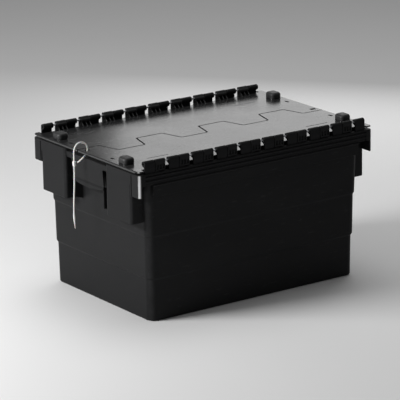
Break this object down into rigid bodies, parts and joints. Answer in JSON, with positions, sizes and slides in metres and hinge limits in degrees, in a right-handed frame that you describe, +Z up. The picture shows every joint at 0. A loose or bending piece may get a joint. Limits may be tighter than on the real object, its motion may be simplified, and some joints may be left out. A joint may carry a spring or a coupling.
{
  "type": "attached lid tote",
  "caption": "Black plastic storage tote with a tapered tub, end handle pockets and two hinged lid leaves that meet in a zigzag seam.",
  "frame": {"origin": "centre of the tub's base, on the surface that it stands on", "axes": "+X along the tote's length, away from the sealed end; +Y across its width, towards the back lid's hinge; +Z up"},
  "size_m": [0.621, 0.4, 0.35],
  "materials": {
    "tub_plastic": "moulded black plastic, fine satin grain, lightly scuffed",
    "lid_plastic": "moulded black plastic, smooth satin top, lightly scuffed",
    "rod_steel": "drawn and zinc plated wire",
    "seal_plastic": "smooth white plastic"
  },
  "bodies": {
    "tub": {"tub": "tub_plastic", "hinge_rod_front": "rod_steel", "hinge_rod_back": "rod_steel"},
    "front_lid": {"lid_front": "lid_plastic", "seal_strap": "seal_plastic", "seal_lock": "seal_plastic"},
    "back_lid": {"lid_back": "lid_plastic"}
  },
  "joints": [
    {"name": "front_lid_hinge", "type": "hinge", "parent": "tub", "child": "front_lid", "pos_m": [0, -0.19, 0.342], "axis": [1, 0, 0], "range_deg": [0, 260]},
    {"name": "back_lid_hinge", "type": "hinge", "parent": "tub", "child": "back_lid", "pos_m": [0, 0.19, 0.342], "axis": [-1, 0, 0], "range_deg": [0, 260]}
  ]
}
